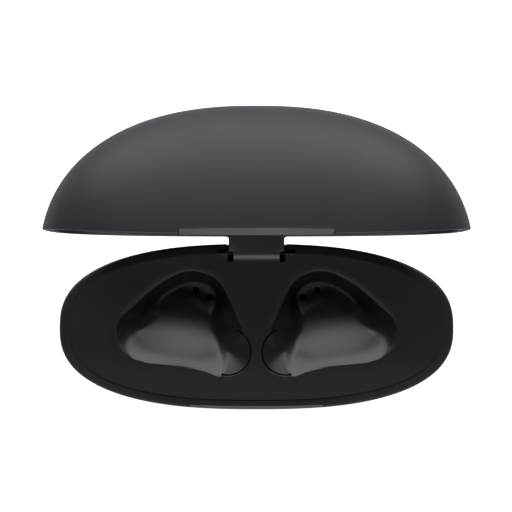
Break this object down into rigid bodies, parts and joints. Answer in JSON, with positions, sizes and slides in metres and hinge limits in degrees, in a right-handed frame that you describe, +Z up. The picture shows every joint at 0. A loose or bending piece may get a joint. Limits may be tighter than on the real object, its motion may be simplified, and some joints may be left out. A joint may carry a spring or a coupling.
{
  "type": "wireless earbuds case",
  "caption": "Pebble-shaped charging case for earbuds with a rear-hinged domed lid, two shaped pits with side pockets and sprung charging contacts.",
  "frame": {"origin": "centre of the flat base that the case rests on", "axes": "+X across the width (the hinge runs along X), +Y towards the hinge at the back, +Z up from the base through the rim"},
  "size_m": [0.062, 0.0453, 0.0487],
  "materials": {
    "soft_touch_plastic": "fine matte black",
    "inner_plastic": "matte black",
    "steel": "bright",
    "chip_black": "moulded black",
    "circuit_board": "green solder mask",
    "cell_foil": "laminated foil",
    "foam": "open-cell foam",
    "blackened_steel": "black oxide",
    "dark_contact": "black nickel plated",
    "clear_plastic": "translucent",
    "flex_film": "amber polyimide",
    "magnet": "nickel plated"
  },
  "bodies": {
    "case": {"lower_shell": "soft_touch_plastic", "earbud_tray": "soft_touch_plastic", "inner_frame": "inner_plastic", "usb_c_shell": "steel", "hinge_bracket": "blackened_steel", "hinge_pin": "blackened_steel", "hinge_spring_left": "blackened_steel", "hinge_spring_right": "blackened_steel", "bracket_screw_left": "blackened_steel", "bracket_screw_right": "blackened_steel", "usb_c_tongue": "chip_black", "charger_chip": "chip_black", "controller_chip": "chip_black", "hall_sensor": "chip_black", "button_switch": "chip_black", "main_board": "circuit_board", "sensor_board": "circuit_board", "contact_board_left": "circuit_board", "contact_board_right": "circuit_board", "battery_cell": "cell_foil", "battery_pad": "foam", "pogo_barrel_left_outer": "dark_contact", "pogo_barrel_left_inner": "dark_contact", "pogo_barrel_right_inner": "dark_contact", "pogo_barrel_right_outer": "dark_contact", "led_chip": "clear_plastic", "led_light_pipe": "clear_plastic", "sensor_flex": "flex_film", "bud_magnet_left": "magnet", "bud_magnet_right": "magnet", "body_magnet_left": "magnet", "body_magnet_right": "magnet"},
    "lid": {"lid_shell": "soft_touch_plastic", "lid_liner": "inner_plastic", "lid_magnet_left": "magnet", "lid_magnet_right": "magnet", "hall_magnet": "magnet"},
    "pairing_button": {"pairing_button": "soft_touch_plastic"},
    "pogo_left_outer": {"pogo_plunger_left_outer": "dark_contact"},
    "pogo_left_inner": {"pogo_plunger_left_inner": "dark_contact"},
    "pogo_right_inner": {"pogo_plunger_right_inner": "dark_contact"},
    "pogo_right_outer": {"pogo_plunger_right_outer": "dark_contact"}
  },
  "joints": [
    {"name": "lid_hinge", "type": "hinge", "parent": "case", "child": "lid", "pos_m": [0, 0.0115, 0.02425], "axis": [1, 0, 0], "range_deg": [0, 90]},
    {"name": "pairing_button_press", "type": "slide", "parent": "case", "child": "pairing_button", "axis": [0, -1, 0], "range_m": [0, 0.00035], "stiffness_N_per_m": 1500, "springref_m": -0.0004},
    {"name": "pogo_left_outer_travel", "type": "slide", "parent": "case", "child": "pogo_left_outer", "axis": [0, 0, -1], "range_m": [0, 0.0006], "stiffness_N_per_m": 300, "springref_m": -0.0005},
    {"name": "pogo_left_inner_travel", "type": "slide", "parent": "case", "child": "pogo_left_inner", "axis": [0, 0, -1], "range_m": [0, 0.0006], "stiffness_N_per_m": 300, "springref_m": -0.0005},
    {"name": "pogo_right_inner_travel", "type": "slide", "parent": "case", "child": "pogo_right_inner", "axis": [0, 0, -1], "range_m": [0, 0.0006], "stiffness_N_per_m": 300, "springref_m": -0.0005},
    {"name": "pogo_right_outer_travel", "type": "slide", "parent": "case", "child": "pogo_right_outer", "axis": [0, 0, -1], "range_m": [0, 0.0006], "stiffness_N_per_m": 300, "springref_m": -0.0005}
  ]
}
